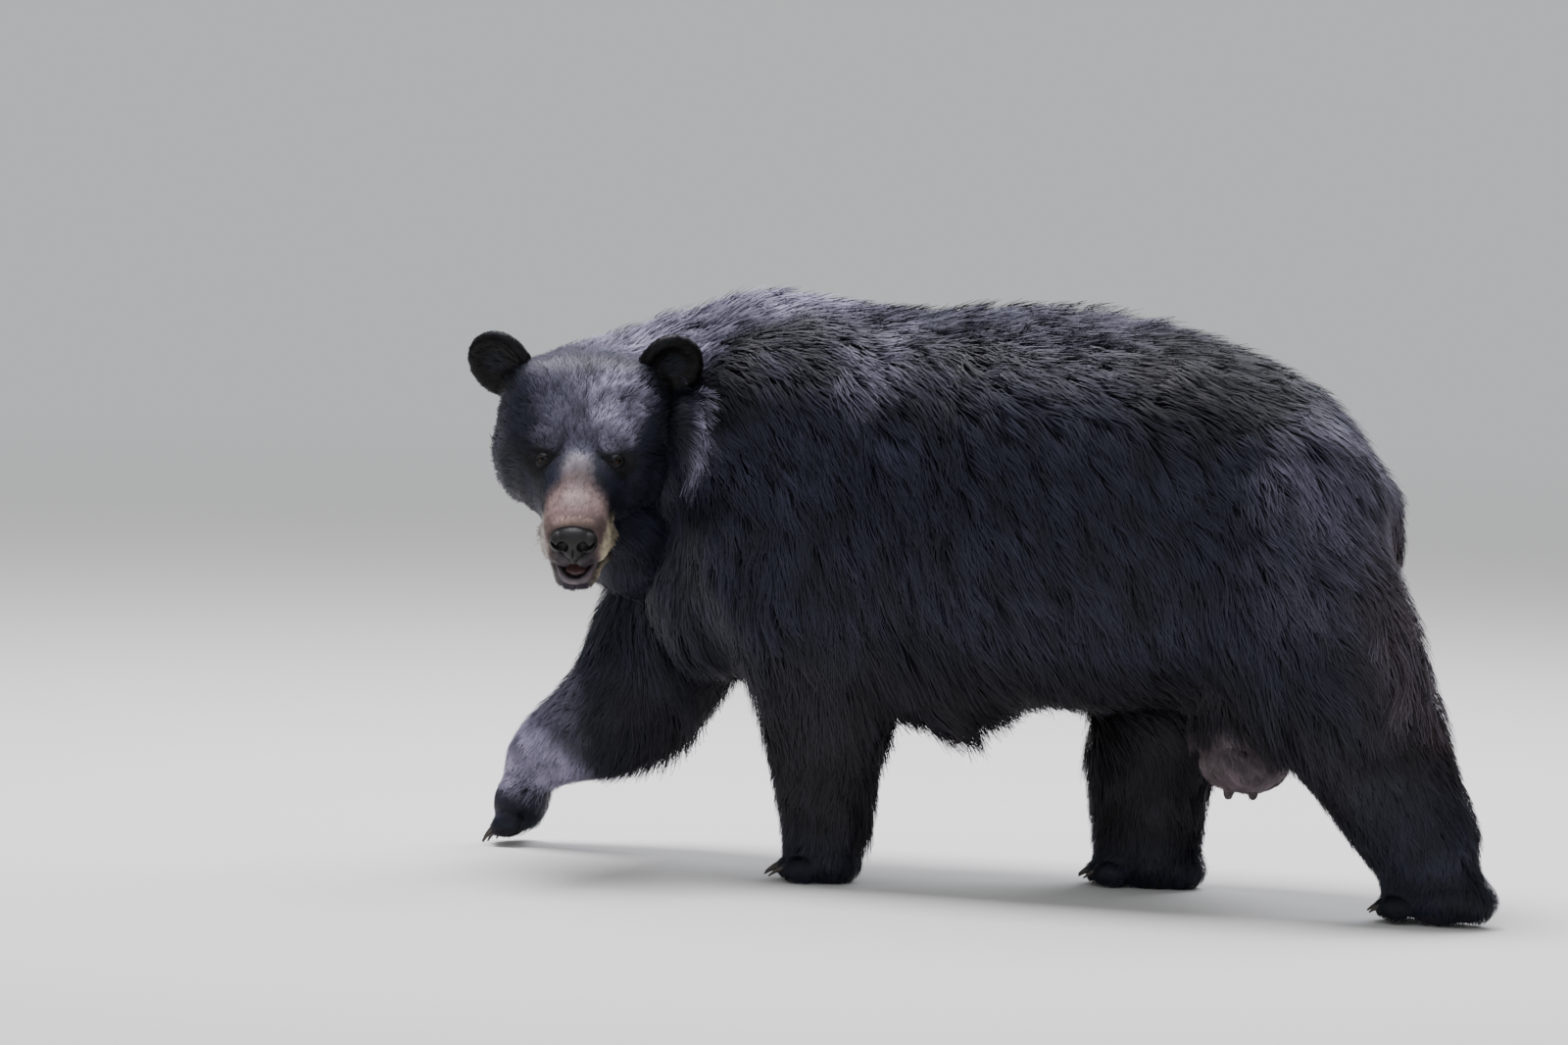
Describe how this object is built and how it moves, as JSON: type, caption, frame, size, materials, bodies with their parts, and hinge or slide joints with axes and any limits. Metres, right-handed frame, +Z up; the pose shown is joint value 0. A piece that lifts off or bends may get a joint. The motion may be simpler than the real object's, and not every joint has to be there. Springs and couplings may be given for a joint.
{
  "type": "black bear",
  "caption": "Life-size still model of a black bear sow walking on all fours, head turned to her left, in a thick black coat with a tan muzzle.",
  "frame": {"origin": "On the floor, under the centre of the whole model's bounding box.", "axes": "+X to the bear's left, -Y the way she walks, +Y towards her tail, +Z up. Her face is turned to +X and a little to +Y."},
  "size_m": [0.5434, 1.376, 0.7408],
  "materials": {
    "coat": "thick black fur with a soft sheen",
    "eye": "wet, glossy dark brown",
    "nose_leather": "fine-grained, moist",
    "claw": "smooth dark horn",
    "bare_skin": "matte greyish pink skin",
    "mouth": "moist"
  },
  "bodies": {
    "root": {"belly": "coat", "chest": "coat", "ear_left": "coat", "ear_right": "coat", "eye_left": "eye", "eye_right": "eye", "foreleg_left": "coat", "foreleg_right": "coat", "forepaw_left": "coat", "forepaw_right": "coat", "head": "coat", "hindleg_left": "coat", "hindleg_right": "coat", "hindpaw_left": "coat", "hindpaw_right": "coat", "jaw": "coat", "neck": "coat", "nose": "nose_leather", "rump": "coat", "shoulder_left": "coat", "shoulder_right": "coat", "tail": "coat", "thigh_left": "coat", "thigh_right": "coat"}
  },
  "joints": []
}
